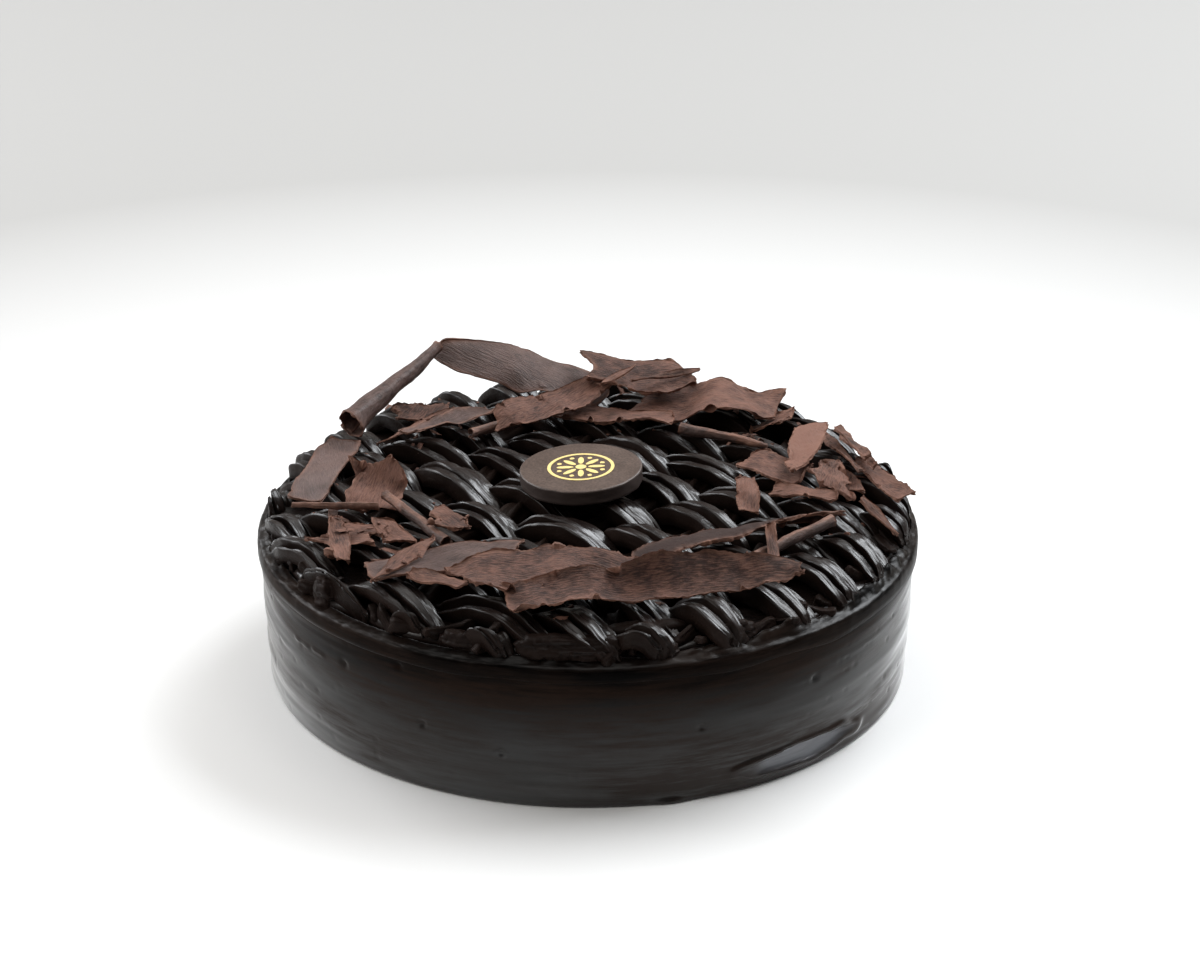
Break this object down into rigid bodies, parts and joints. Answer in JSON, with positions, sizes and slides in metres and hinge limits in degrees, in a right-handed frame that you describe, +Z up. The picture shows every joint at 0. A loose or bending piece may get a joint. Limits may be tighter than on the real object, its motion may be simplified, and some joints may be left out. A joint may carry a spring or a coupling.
{
  "type": "chocolate cake",
  "caption": "Round whole chocolate cake with smooth ganache sides, a piped ganache basket weave on top, a small round chocolate medallion and a ring of loose chocolate shavings.",
  "frame": {"origin": "centre of the flat base, on the surface the cake stands on", "axes": "+Z up through the middle of the cake; -Y towards the side that the picture shows in front, +X to its right"},
  "size_m": [0.204, 0.204, 0.0787],
  "materials": {
    "ganache": "satin, with faint spatula streaks",
    "piping": "satin gloss",
    "medallion": "dull satin with a gold print",
    "shaving": "matte, finely streaked"
  },
  "bodies": {
    "root": {"cake_body": "ganache", "piped_weave": "piping", "medallion": "medallion", "shaving_left_flat_flake": "shaving", "shaving_left_upright_flake": "shaving", "shaving_left_ragged_flake": "shaving", "shaving_left_ragged_strip": "shaving", "shaving_left_ragged_sliver": "shaving", "shaving_left_quill": "shaving", "shaving_front_left_flake": "shaving", "shaving_left_thick_quill": "shaving", "shaving_left_small_flake": "shaving", "shaving_front_left_splinter": "shaving", "shaving_front_back_flake": "shaving", "shaving_front_thin_strip": "shaving", "shaving_right_dark_quill": "shaving", "shaving_right_small_stick": "shaving", "shaving_right_jagged_chip": "shaving", "shaving_front_long_flake": "shaving", "shaving_right_curled_strip": "shaving", "shaving_right_lone_flake": "shaving", "shaving_right_near_flake": "shaving", "shaving_right_flat_flake": "shaving", "shaving_right_behind_flake": "shaving", "shaving_right_edge_flake": "shaving", "shaving_right_outer_stick": "shaving", "shaving_right_edge_stick": "shaving", "shaving_right_inner_stick": "shaving", "shaving_right_ragged_flake": "shaving", "shaving_right_short_stick": "shaving", "shaving_right_wedge": "shaving", "shaving_back_right_flake": "shaving", "shaving_back_right_quill": "shaving", "shaving_back_right_chip": "shaving", "shaving_back_middle_flake": "shaving", "shaving_back_left_under_flake": "shaving", "shaving_back_left_sliver": "shaving", "shaving_back_left_half_quill": "shaving", "shaving_back_left_roll": "shaving", "shaving_arch_quill": "shaving", "shaving_arch_sheet": "shaving", "shaving_back_long_flake": "shaving", "shaving_back_top_flake": "shaving", "shaving_back_fork_stick": "shaving", "shaving_back_dark_stick": "shaving"}
  },
  "joints": []
}
